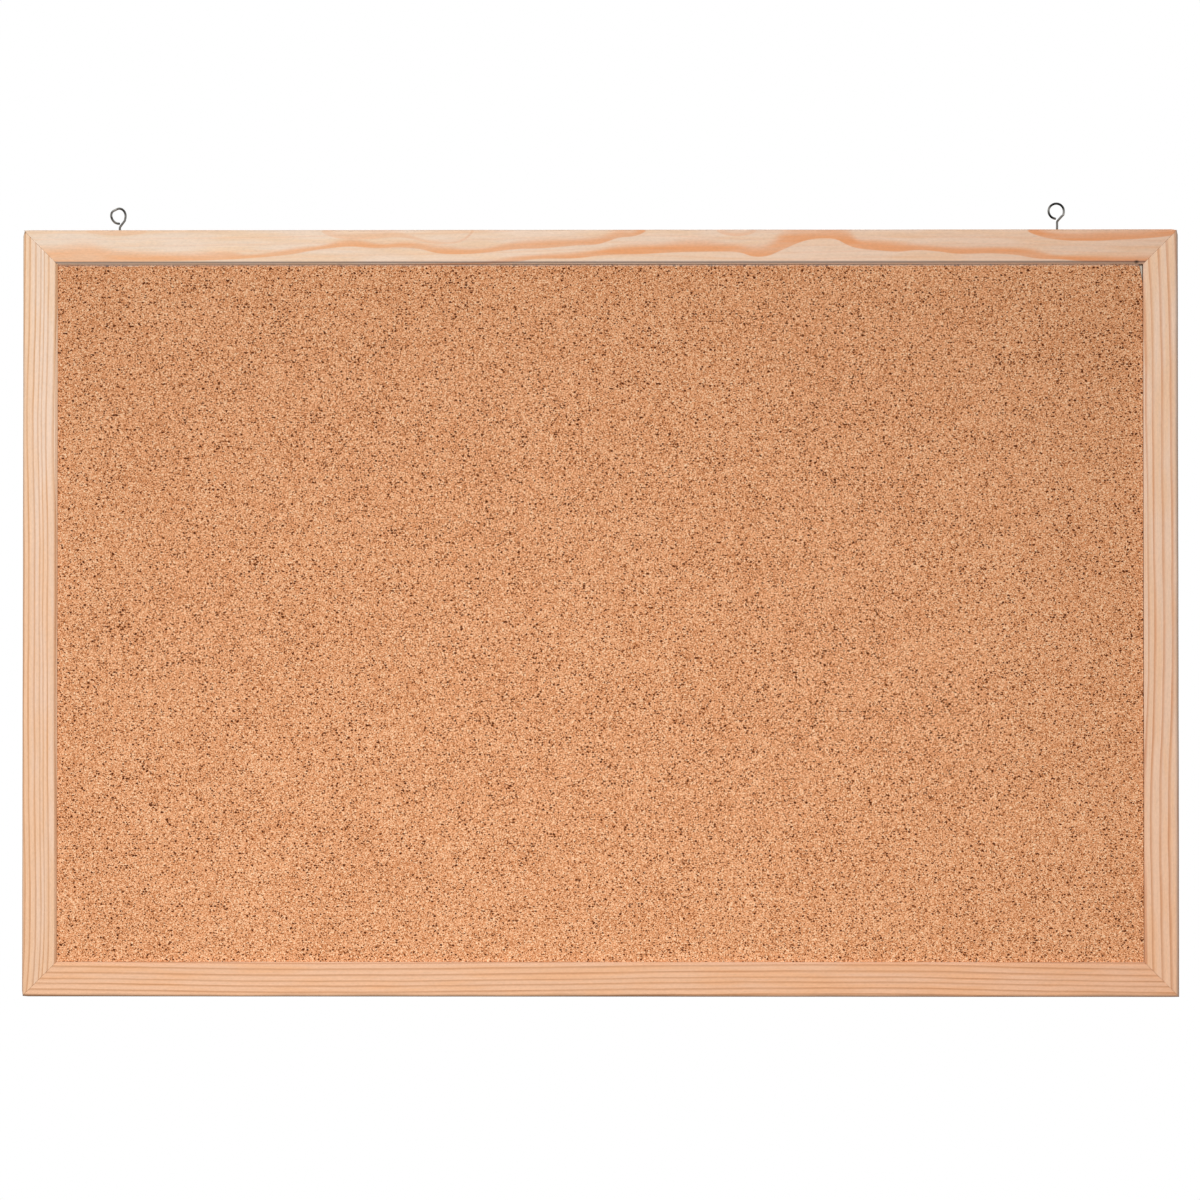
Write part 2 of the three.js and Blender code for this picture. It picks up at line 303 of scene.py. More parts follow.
wire = {
    "radius": 0.6 * mm,
    "loopRadius": 4 * mm,  # to the middle of the wire
    "shankBend": 1.6 * mm,
    "plainShank": 3 * mm,
    "threadPitch": 0.9 * mm,
    "threadCrest": 0.66 * mm,
    "threadRoot": 0.44 * mm,
    "threadPower": 1.3,  # over 1 hollows the thread's flanks
    "threadLead": 0.8 * mm,
    "tipLength": 2 * mm,
    "tipRadius": 0.12 * mm,
    "sides": 28,
    "stepsPerPitch": 16,
    "bendSteps": 12,
    "bendFade": 14,  # the loop's first degrees, that no dent reaches
    "loopSteps": 110,
    "endSteps": 5,
    "endRound": 0.25 * mm,  # the cut end's worn edge
    # Size, detail and roughness of the drawn lines, several times as coarse as real ones so that they
    # show, and of the plating's worn patches, in millimetres
    "lines": ((0.12 * mm, 0.12 * mm, 4 * mm), 2, 0.5),
    "patches": (1.6, 3, 0.6),
}

# "aside" is the loop's centre beside the shank, "slant" the wire's slant towards the loop and "gap" what
# its cut end leaves free, in the plane that "turn" turns about the shank. A dent flattens the loop at an
# angle from +X, by a share of its radius, over so many degrees. The last list is painted reflection and
# shade: how bright the wire looks at angles round the loop.
eyes = [
    {
        "node": "screw_eye_left", "piece": "leftScrewEyeWire",
        "aside": -0.65 * mm, "slant": 36, "turn": 14, "gap": 0.12 * mm,
        "dents": [(0, 0.085, 50), (116, 0.112, 26), (208, 0.055, 38)],
        "paintedReflection": [(-36, 0.5), (0, 0.6), (20, 0.34), (60, 0.2), (78, 0.35), (92, 0.7), (120, 1.15), (138, 1),
                  (150, 0.3), (165, 0.55), (180, 0.5), (195, 0.12), (215, 0.38), (240, 0.8), (250, 0.55),
                  (262, 0.45), (276, 0.15)],
    },
    {
        "node": "screw_eye_right", "piece": "rightScrewEyeWire",
        "aside": -0.5 * mm, "slant": 42, "turn": 0, "gap": 0.34 * mm,
        "dents": [(-32, -0.055, 18), (110, 0.04, 60), (200, 0.02, 40)],
        "paintedReflection": [(-42, 0.5), (-30, 0.95), (0, 0.68), (15, 0.25), (30, 0.05), (60, 0.03), (75, 0.09),
                  (120, 0.1), (135, 0.2), (150, 0.65), (165, 0.95), (180, 0.55), (195, 0.25), (210, 0.06),
                  (240, 0.05), (255, 0.3), (266, 0.5)],
    },
]


def loopCentre(eye):
    # The middle of the CAD eye's box, the loop's and the wire's radius below its top
    low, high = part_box(eye["node"])
    up = high.z - wire["loopRadius"] - wire["radius"]
    return np.array([(low.x + high.x) / 2, (low.y + high.y) / 2, up])


def shankPlace(eye):
    # The loop's centre less "aside" along the eye's own turned X
    turn = radians(eye["turn"])
    return loopCentre(eye)[:2] - eye["aside"] * np.array([cos(turn), sin(turn)])


def wireLine(eye):
    # The wire's middle line in its own plane, the shank on x = 0 and the loop's centre at z = 0: straight
    # up, round an arc to the slant, then round (aside, 0) at R (1 - sum of dent exp(-((angle - at) /
    # width)^2)), the dents growing over the first degrees as s^2 (3 - 2 s), to the angle 2 pi - slant -
    # acos(1 - (2 r + gap) / R), r being the wire's radius, and over a rounded end. Returns x, z, the
    # heading from +z towards +x, the distance from the tip, the share of its radius that the wire keeps,
    # its painted reflection and shade, and the thread's end.
    radius, bend, aside = wire["loopRadius"], wire["shankBend"], eye["aside"]
    slant = radians(eye["slant"])
    end = 2 * pi - slant - acos(1 - (2 * wire["radius"] + eye["gap"]) / radius)
    foot = -(radius + aside * cos(slant)) / sin(slant)
    bendStart = foot - bend * tan(slant / 2)
    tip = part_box(eye["node"])[0].z - loopCentre(eye)[2]
    count = round((bendStart - tip) / wire["threadPitch"] * wire["stepsPerPitch"])
    rise = np.linspace(tip, bendStart, count, endpoint=False)
    lean = np.linspace(0, slant, wire["bendSteps"])
    turn = np.linspace(-slant, end, wire["loopSteps"])
    angle = np.degrees(turn)
    dented = sum(dent * np.exp(-(((angle - at) / width) ** 2)) for at, dent, width in eye["dents"])
    start = np.clip(np.degrees(turn + slant) / wire["bendFade"], 0, 1)
    reach = radius * (1 - dented * start * start * (3 - 2 * start))
    x = [0 * rise, bend * (1 - np.cos(lean)), aside + reach * np.cos(turn)]
    z = [rise, bendStart + bend * np.sin(lean), reach * np.sin(turn)]
    bow = np.linspace(0, pi / 2, wire["endSteps"] + 1)[1:-1]
    onward = wire["endRound"] * np.sin(bow)
    x.append(x[-1][-1] + onward * sin(-end))
    z.append(z[-1][-1] + onward * cos(-end))
    heading = [0 * rise, lean, -turn, 0 * bow - end]
    around = [0 * rise - slant, 0 * lean - slant, turn, 0 * bow + end]
    x, z, heading, around = (np.concatenate(part) for part in (x, z, heading, around))
    steps = np.hypot(np.diff(x, prepend=x[0]), np.diff(z, prepend=z[0]))
    kept = np.ones(len(x))
    kept[-len(bow) :] = 1 - wire["endRound"] / wire["radius"] * (1 - np.cos(bow))
    # painted reflection and shade at each point, from the eye's list of angles
    paintedReflection = np.interp(np.degrees(around), *zip(*eye["paintedReflection"]))
    return x, z, heading, np.cumsum(steps), kept, paintedReflection, bendStart - tip - wire["plainShank"]


def wireSurface(eye):
    # Rings round the middle line. On the thread the radius is root + (crest - root) c^power, where c falls
    # from 1 to 0 and back once a pitch as the helix turns, fading into the plain wire above and narrowing
    # to the tip below. Returns the points, the same with the wire straight, and the painted reflection and
    # shade.
    x, z, heading, up, kept, paintedReflection, threadEnd = wireLine(eye)
    x, z, heading, up, kept, paintedReflection = (part[:, None] for part in (x, z, heading, up, kept, paintedReflection))
    turn = np.arange(wire["sides"])[None, :] / wire["sides"]
    crest = np.abs(((up / wire["threadPitch"] - turn) % 1) * 2 - 1) ** wire["threadPower"]
    threaded = wire["threadRoot"] + (wire["threadCrest"] - wire["threadRoot"]) * crest
    plain = np.clip(1 - (threadEnd - up) / wire["threadLead"], 0, 1)
    radius = (threaded + (wire["radius"] - threaded) * plain) * kept
    radius = wire["tipRadius"] + (radius - wire["tipRadius"]) * np.clip(up / wire["tipLength"], 0, 1)
    across = radius * np.cos(turn * 2 * pi)
    deep = radius * np.sin(turn * 2 * pi)
    turnedX, turnedY = turnBy(x + across * np.cos(heading), deep, radians(eye["turn"]))
    turned = np.stack([turnedX, turnedY, z - across * np.sin(heading)], axis=-1)
    shank = np.array([*shankPlace(eye), loopCentre(eye)[2]])
    straight = np.stack([across, deep, up + 0 * across], axis=-1)
    return turned + shank, straight, paintedReflection + 0 * across


def wireMaterial():
    # Zinc plated steel wire, drawn and then bent: cool grey in worn patches, with fine lines along it,
    # and painted reflection and shade that make it bright or dark at angles round the loop
    material, add, place = newMaterial("zinc plated steel wire, drawn, with painted reflections")
    straight = add("Attribute", attribute_name="straightWire").outputs["Vector"]
    lines = addPattern(add, straight, *wire["lines"])
    patches = addPattern(add, place, *wire["patches"])
    # painted reflection and shade, read round each loop, scales the wire's tone
    paintedReflection = add("Attribute", attribute_name="wirePaintedReflection").outputs["Fac"]
    stops = [(0.36, "#928e88"), (0.5, "#a5a29d"), (0.64, "#b4b1ac")]
    addMetal(add, lines, patches, stops, (0.88, 1.1), (0.28, 0.42), paintedReflection)
    return material


def addScrewEyes():
    material = wireMaterial()
    for eye in eyes:
        places, straight, paintedReflection = wireSurface(eye)
        mesh = newMesh(eye["piece"], places.reshape(-1, 3), tubeFaces(*places.shape[:2]))
        attribute = mesh.attributes.new("straightWire", "FLOAT_VECTOR", "POINT")
        attribute.data.foreach_set("vector", straight.astype(np.float32).ravel())
        attribute = mesh.attributes.new("wirePaintedReflection", "FLOAT", "POINT")
        attribute.data.foreach_set("value", paintedReflection.astype(np.float32).ravel())
        addPiece(eye["piece"], mesh, material, eye["node"], sharpAngle=50)


addScrewEyes()
print("screw eyes")


# Pine rails

rails = {
    "lipThickness": 4 * mm,  # the wood in front of the panel
    "rebateWidth": 5.5 * mm,
    "outerArris": 1.8 * mm,  # radii of the section's corners
    "backArris": 0.6 * mm,
    "innerBevel": 1.3 * mm,
    "easedEdge": 0.35 * mm,
    "arrisWear": 0.25,  # how much the outer arris comes and goes along a rail
    "wearLengths": (0.31, 0.13, 0.047),
    "arcSteps": 6,
    "stationSpacing": 3 * mm,
    "mitreGap": 0.04 * mm,  # a tight glued joint
    "mitreEase": 0.15 * mm,  # the sanded edge of each mitred end
    "easeSteps": 3,
    "slotClearance": 0.1 * mm,
    "nailThickness": 0.5 * mm,
    "overrun": 1 * mm,
    "mergeDistance": 0.002 * mm,  # of points that coincide
    "pilotSides": 24,
}

# The board's sides, each turned by one more quarter. "ends" are the radii that its two outer corners are
# worn to, seen from the front.
sides = [
    {"node": "top_rail", "piece": "topRailPine", "slot": "pine_top", "ends": (1.0 * mm, 1.7 * mm)},
    {"node": "right_stile", "piece": "rightStilePine", "slot": "pine_right", "ends": (1.9 * mm, 0.5 * mm)},
    {"node": "bottom_rail", "piece": "bottomRailPine", "slot": "pine_bottom", "ends": (0.5 * mm, 1.1 * mm)},
    {"node": "left_stile", "piece": "leftStilePine", "slot": "pine_left", "ends": (1.5 * mm, 2.6 * mm)},
]
for turn, side in enumerate(sides):
    upright = turn % 2
    side["turn"] = turn
    side["length"] = board["height"] if upright else board["width"]
    side["out"] = (board["width"] if upright else board["height"]) / 2


def roundedSection(corners, steps):
    # Each corner P with radius r becomes an arc about P + c r / sin(w / 2), where c points half way between
    # its neighbours and w is the angle between them. A radius of 0 keeps the corner.
    section = []
    for i, (x, y, radius) in enumerate(corners):
        corner = np.array([x, y])
        before = np.array(corners[i - 1][:2]) - corner
        after = np.array(corners[(i + 1) % len(corners)][:2]) - corner
        before = before / np.linalg.norm(before)
        after = after / np.linalg.norm(after)
        inward = (before + after) / np.linalg.norm(before + after)
        onward = (after - before) / np.linalg.norm(after - before)
        half = np.arccos(np.dot(before, after)) / 2
        turn = np.linspace(-1, 1, steps + 1 if radius else 1)[:, None] * (pi / 2 - half)
        centre = corner + inward * radius / sin(half)
        section.append(centre + radius * (np.sin(turn) * onward - np.cos(turn) * inward))
    return np.concatenate(section)


def mouldingSection(outerArris):
    # Across from the outer edge, and in depth from the front to the back, with the rebate behind the lip
    width = board["railWidth"]
    front = board["front"]
    bevel = rails["innerBevel"]
    rebate = width - rails["rebateWidth"]
    lipBack = front + rails["lipThickness"]
    eased = rails["easedEdge"]
    return roundedSection([
        (0, front, outerArris),
        (width - bevel, front, eased),
        (width, front + bevel, eased),
        (width, lipBack, eased / 2),
        (rebate, lipBack, 0),
        (rebate, 0, eased),
        (0, 0, rails["backArris"]),
    ], rails["arcSteps"])


def railSurface(side, seed):
    # The section is carried along the rail. Station i, point j stands at
    #   along = f(i) (length / 2 - across(j) - gap) - sign f(i) e(i)
    # so that the ends, f = -1 and 1, lie on the mitres. At an end the section shrinks along its normals
    # by s: e = r (1 - cos a), s = r (1 - sin a), a = 0 ... pi / 2. The board's corner is rounded to R:
    # across is at least R - sqrt(R^2 - (R - t)^2) at the distance t from the corner.
    half = side["length"] / 2
    gap = rails["mitreGap"] / sqrt(2)
    count = round(side["length"] / rails["stationSpacing"])
    inner = np.linspace(-1, 1, count + 1)[1:-1]
    angle = np.linspace(0, pi / 2, rails["easeSteps"] + 1)
    easeOff = rails["mitreEase"] * (1 - np.cos(angle))
    easeIn = rails["mitreEase"] * (1 - np.sin(angle))
    still = np.zeros(len(inner))
    share = np.concatenate([-np.ones(len(angle)), inner, np.ones(len(angle))])[:, None]
    setBack = np.concatenate([easeOff, still, easeOff[::-1]])[:, None]
    shrink = np.concatenate([easeIn, still, easeIn[::-1]])[:, None, None]

    wear = waves(share * half, rails["wearLengths"], seed)[:, :, None]
    crisp = mouldingSection(rails["outerArris"] * (1 - rails["arrisWear"]))
    worn = mouldingSection(rails["outerArris"] * (1 + rails["arrisWear"]))
    section = crisp + (worn - crisp) * (0.5 + wear / 2)
    tangent = np.roll(section, -1, axis=1) - np.roll(section, 1, axis=1)
    inward = np.stack([-tangent[..., 1], tangent[..., 0]], axis=-1)
    section = section + shrink * inward / np.linalg.norm(inward, axis=-1, keepdims=True)

    across = section[..., 0]
    fromCorner = half - np.abs(share) * (half - across - gap) + setBack
    radius = np.where(share < 0, *side["ends"])
    least = radius * (1 - sqrt(0.5)) + gap
    fromCorner = np.where(fromCorner < radius, np.maximum(fromCorner, least), fromCorner)
    inRound = np.clip(radius - fromCorner, 0, None)
    across = np.maximum(across, radius - np.sqrt(radius**2 - inRound**2))
    along = np.where(share == 0, 0, np.sign(share) * (half - fromCorner))
    return np.stack([along, section[..., 1], -across], axis=-1)


def turnedOut(places, side):
    # From a rail's own frame, its outer edge on top at Z = 0, to its side of the board: moved out, and
    # turned by quarters about Y
    x, y, z = np.moveaxis(places, -1, 0)
    z, x = turnBy(z + side["out"], x, side["turn"] * pi / 2)
    return np.stack([x, y, z], axis=-1) + np.array(board["middle"])


def prism(ring, axis, low, high):
    # A flat ring of points, set at the levels low and high of an axis and joined by quads
    count = len(ring)
    places = np.concatenate([np.insert(ring, axis, level, axis=1) for level in (low, high)])
    faces = gridFaces(2, count, closed=True)
    return places, faces + [list(range(count)), list(range(count, 2 * count))]


def pointSlot(low, high):
    # The point's box, grown by the clearance on every side
    clear = rails["slotClearance"]
    left, right = low.x - clear, high.x + clear
    bottom, top = low.z - clear, high.z + clear
    ring = np.array([(left, bottom), (right, bottom), (right, top), (left, top)])
    return prism(ring, 1, low.y - clear, high.y + clear)


def nailSlot(low, high):
    # The nail's angle, its corner towards the board's corner, grown by the clearance and open at the back
    clear = rails["slotClearance"]
    towards = np.array([-1 if low.x < 0 else 1, -1 if low.z < board["middle"].z else 1])
    outer = np.where(towards < 0, (low.x, low.z), (high.x, high.z))
    leg = high.x - low.x + clear
    inside = rails["nailThickness"] + clear
    angle = [(-clear, -clear), (leg, -clear), (leg, inside), (inside, inside), (inside, leg), (-clear, leg)]
    return prism(outer - np.array(angle) * towards, 1, low.y - clear, rails["overrun"])


def pilotHole(eye):
    # A round hole about the shank, as wide as the thread's crest and the clearance, open at the top
    radius = wire["threadCrest"] + rails["slotClearance"]
    turn = np.linspace(0, 2 * pi, rails["pilotSides"], endpoint=False)
    ring = shankPlace(eye) + radius * np.column_stack([np.cos(turn), np.sin(turn)])
    return prism(ring, 2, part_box(eye["node"])[0].z - rails["slotClearance"], topHigh.z + rails["overrun"])


def slotsIn(rail):
    # The slots and holes of every point, nail and eye whose box meets the rail's
    railLow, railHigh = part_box(rail)
    shapes = []
    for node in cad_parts:
        low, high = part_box(node)
        if any(low[i] >= railHigh[i] or railLow[i] >= high[i] for i in range(3)):
            continue
        if "_point_" in node:
            shapes.append(pointSlot(low, high))
        if "_nail_" in node:
            shapes.append(nailSlot(low, high))
    if rail == "top_rail":
        shapes += [pilotHole(eye) for eye in eyes]
    return shapes


def cutAway(mesh, shapes):
    # The mesh, its coinciding points merged, less the cutting shapes, their faces turned outwards
    cutterMesh = bmesh.new()
    for places, faces in shapes:
        corners = [cutterMesh.verts.new(place) for place in places]
        for face in faces:
            cutterMesh.faces.new([corners[i] for i in face])
    bmesh.ops.recalc_face_normals(cutterMesh, faces=cutterMesh.faces)
    cutter = newObject("cutter", bpy.data.meshes.new("cutter"))
    cutterMesh.to_mesh(cutter.data)
    cutterMesh.free()
    joined = bmesh.new()
    joined.from_mesh(mesh)
    bmesh.ops.remove_doubles(joined, verts=joined.verts, dist=rails["mergeDistance"])
    bmesh.ops.dissolve_degenerate(joined, edges=joined.edges, dist=rails["mergeDistance"])
    joined.to_mesh(mesh)
    joined.free()
    whole = newObject("whole", mesh)
    boolean = whole.modifiers.new("slots", "BOOLEAN")
    boolean.object = cutter
    boolean.solver = "EXACT"
    boolean.use_self = True
    boolean.use_hole_tolerant = True
    left = bpy.data.meshes.new_from_object(whole.evaluated_get(bpy.context.evaluated_depsgraph_get()))
    bpy.data.objects.remove(whole)
    bpy.data.objects.remove(cutter)
    return left


# The broad rings on the top rail's face, which is sawn flat. Each lies between a "low" edge, where it stops
# sharply, and a "high" one, where it fades, at millimetres along the rail from its middle and across it
# from its outer edge.
bandEdge = 0.25  # millimetres to either side, over which a band stops
bandFade = (0.5, 1.5)  # shares of its width, between which it fades
topBands = [
    {
        "strength": 0.88,
        "low": [
            (-300, 16.3), (-240, 16.7), (-209, 16), (-184.5, 14.9), (-157, 12.3), (-151.7, 11.2),
            (-141.8, 9.9), (-129.8, 8.9), (-117.4, 9.7), (-102.3, 9.4), (-92.4, 10.3), (-87.2, 11.7),
            (-82.5, 12.5), (-72.1, 12.7), (-62.2, 12.2), (-42.5, 10.1), (-32.6, 9.8), (-12.8, 8.3),
            (-0.9, 7.6), (4.3, 6), (9, 4.4), (18.9, 3.2), (28, -0.6), (300, -3.4),
        ],
        "high": [
            (-300, 9.5), (-283.3, 9.5), (-265.6, 8.1), (-258.3, 9.9), (-248.4, 11.3), (-229.7, 12.3),
            (-213.6, 12.6), (-193.3, 11.9), (-183.4, 12.9), (-169.9, 11.7), (-157, 9.5), (-147, 8.6),
            (-129.8, 5.5), (-112.2, 7.6), (-102.3, 6.6), (-82.5, 8.7), (-62.2, 9.7), (-42.5, 6.5),
            (-12.8, 4.9), (-0.9, 3.8), (9, 1.3), (18.9, 1), (28, -3.5), (300, -6.5),
        ],
    },
    {
        "strength": 0.88,
        "low": [
            (-300, 21.3), (-63.3, 19.7), (-42.5, 16.7), (-34.7, 15.5), (-12.8, 14.9), (4.3, 13.3),
            (19.9, 12.9), (34, 12.1), (53.7, 11.6), (63.6, 11.6), (68.8, 11.7), (73.5, 12.3), (78.7, 14),
            (83.9, 14.3), (88.6, 13.4), (93.8, 11.1), (98.4, 9.1), (103.6, 6.9), (108.3, 5.5), (118.7, 4.7),
            (123.4, 5.5), (128.6, 8.2), (133.3, 9.7), (143.2, 10.9), (155.1, 11.7), (165, 10.9),
            (174.9, 11.6), (184.8, 12.8), (205, 12.7), (214.9, 13.4), (227.9, 15.4), (239.4, 15.7),
            (251.3, 17.1), (274.7, 17.7), (300, 17.7),
        ],
        "high": [
            (-300, 19.2), (-63.3, 17.1), (-42.5, 14.1), (-0.9, 10.8), (9, 8.8), (28.8, 7.8), (49, 6.1),
            (68.8, 7.7), (83.9, 8.8), (88.6, 7.1), (91.7, 5), (95.3, 1.9), (110.9, 0.9), (128.6, 1.5),
            (133.3, 5.2), (143.2, 6.2), (155.1, 7.2), (184.8, 9.3), (214.9, 9.9), (224.8, 11),
            (234.7, 13.4), (244.6, 13.9), (300, 14.1),
        ],
    },
    {
        "strength": 0.88,
        "low": [
            (-300, -3.2), (216, -1.4), (225, 2.6), (234, 5), (253.9, 6), (269.5, 5.5), (289.3, 4.3),
            (300, 2.9),
        ],
        "high": [(-300, -5.3), (216, -3), (234, 1.6), (269.5, 1.4), (300, 0.3)],
    },
    {
        "strength": 0.4,
        "low": [
            (-300, -1), (-272, 0.4), (-263, 2), (-239, 2.2), (-228, -1), (-150, -1), (-139, 3.8),
            (-122, 4.9), (-105, 4), (-97, 5), (-88, 7.2), (-80, 7.4), (-71, 5.8), (-62, -1), (56, -1),
            (64, 2.5), (77, 2.8), (86, -1), (300, -2),
        ],
        "high": [
            (-300, -4), (-150, -4), (-139, 1.2), (-105, 1.4), (-88, 5.6), (-71, 4.6), (-62, -4), (56, -4),
            (64, 0.5), (77, 0.8), (86, -4), (300, -5),
        ],
    },
]

# The grain of each rail, in the same millimetres. Late wood is the darker share "late" of a growth ring
# and stops sharply where it ends. "ends" are where rings end across the middle of the face, "drift" and
# "slope" how far they move along the rail and per millimetre of depth. The colours run along the rail.
# "warm" is how orange the wood is at places across, and the last curve how grey it is there: painted shade,
# greyer along the outer arrises and inner bevels, and the most on the top rail's inner bevel, which faces
# down.
grains = {
    "top_rail": {
        "late": 0.4, "ringStrength": 0.16, "slope": 1.4, "wander": 0.3, "softness": 0.75, "bands": topBands,
        "ends": [-9.8, -6.2, -2.9, 0.8, 4.1, 7.9, 11.3, 14.8, 18.4, 22.1],
        "drift": [(-300, 1.2), (-190, 0.4), (-60, -2.4), (20, -4.4), (90, -2.2), (150, -3.4), (300, -1)],
        "pale": ["#fae2cc", "#f4d7bf", "#f0cbb0"], "dark": ["#f8bc8c", "#eca068", "#ea985f"],
        "warm": [(0, 0), (18, 0)],
        # painted shade: greyer on the inner bevel, 16.1 to 18 mm across, which faces down, and a little on
        # the outer arris
        "paintedShade": [
            (0, 0.12), (1.2, 0.04), (2.2, 0), (16.1, 0), (16.5, 0.38), (16.9, 0.55), (17.2, 0.55),
            (17.5, 0.1), (18, 0),
        ],
    },
    "right_stile": {
        "late": 0.46, "ringStrength": 1, "slope": -0.5, "wander": 0.7, "softness": 0.9, "bands": [],
        "ends": [-9.8, -5.4, -1, 3.9, 8.5, 13.2, 16.3, 19.8, 24, 28.6],
        "drift": [
            (-199, 3.4), (-178, 2), (-163, 1.3), (-100, 0.6), (-38, 0), (24, -0.3), (60, 0.6), (87, 1.8),
            (149, 1.5), (199, 0.8),
        ],
        "pale": ["#fcd9be", "#ecc8ad", "#e8bb9a"], "dark": ["#e5b18e", "#d49c79", "#c9916c"],
        "warm": [(0, 0), (18, 0)],
        # painted shade along the outer arris
        "paintedShade": [(0, 0.45), (0.8, 0.35), (1.8, 0.1), (2.6, 0), (18, 0)],
    },
    "bottom_rail": {
        "late": 0.5, "ringStrength": 1, "slope": 0.35, "wander": 0.5, "softness": 0.9, "bands": [],
        "ends": [-8.4, -5.6, -2.7, 0.3, 3.3, 6.4, 9, 12.2, 15.3, 18.4, 21.4, 24.4],
        "drift": [
            (-300, -0.8), (-234, 0.1), (-156, 1.6), (-52, 1.3), (52, 0), (156, -0.6), (260, 0.6), (300, 1),
        ],
        "pale": ["#e6b492", "#e3b593", "#e8ba98"], "dark": ["#c6906b", "#c3906c", "#c5926c"],
        "warm": [(0, 0.4), (3, 0.2), (6, 0), (18, 0)],
        "paintedShade": [(0, 0.03), (1.2, 0), (16.4, 0), (16.9, 0.1), (18, 0.1)],
    },
    "left_stile": {
        "late": 0.5, "ringStrength": 1, "slope": -0.35, "wander": 0.6, "softness": 0.9, "bands": [],
        "ends": [-7.6, -4.9, -2, 0.9, 3.5, 6.6, 9.2, 11, 13.4, 17.2, 20, 22.8, 25.6],
        "drift": [
            (-199, -1), (-185, 0.2), (-149, 1), (-86, 0.2), (-24, -0.1), (38, 0), (101, -0.9), (163, 0.4),
            (199, 0.6),
        ],
        "pale": ["#e4c0a4", "#eecbb1", "#fee3cd"], "dark": ["#c69774", "#d3a07a", "#e5b78f"],
        "warm": [(0, 0.9), (4, 0.9), (6, 0.1), (10, 0), (16, 0), (17, 0.8), (18, 0.8)],
        "paintedShade": [(0, 0.15), (0.8, 0.05), (1.6, 0), (18, 0)],
    },
}

# The pine's finer patterns: millimetres along a rail, in depth and across, then detail and roughness. The
# fibre is about ten times as coarse as real wood cells, so that it shows.
pinePatterns = {
    "wander": ((45, 9, 9), 2, 0.5),  # of the rings
    "fibre": ((14, 0.35, 0.35), 3, 0.6),
    "streak": ((60, 2.4, 2.4), 2, 0.5),
    "mottle": ((2, 0.9, 0.9), 2, 0.7),
    "warmPatch": ((35, 3.5, 3.5), 2, 0.5),
}
resinDuct = (1 / 5, 1 / 0.8, 1 / 0.8)  # one to a cell of 5 by 0.8 by 0.8 mm
warmTint = (1, 0.91, 0.79)

# Dark spots near the corners, at millimetres across and up from the board's middle
spots = [
    {"place": (-299.3, 197.7), "radius": 1.3, "share": 0.6},
    {"place": (-299.7, -198.8), "radius": 1.6, "share": 0.7},
    {"place": (298.9, 198.4), "radius": 1.5, "share": 0.3},
    {"place": (278.3, 181.7), "radius": 1.6, "share": 0.95},
]
spotCore = 0.3  # the share of a spot's radius that is darkest
# the grey of the painted shade on the rails' arrises and bevels
paintedShadeColour = "#67666e"
spotColour = "#2a2420"


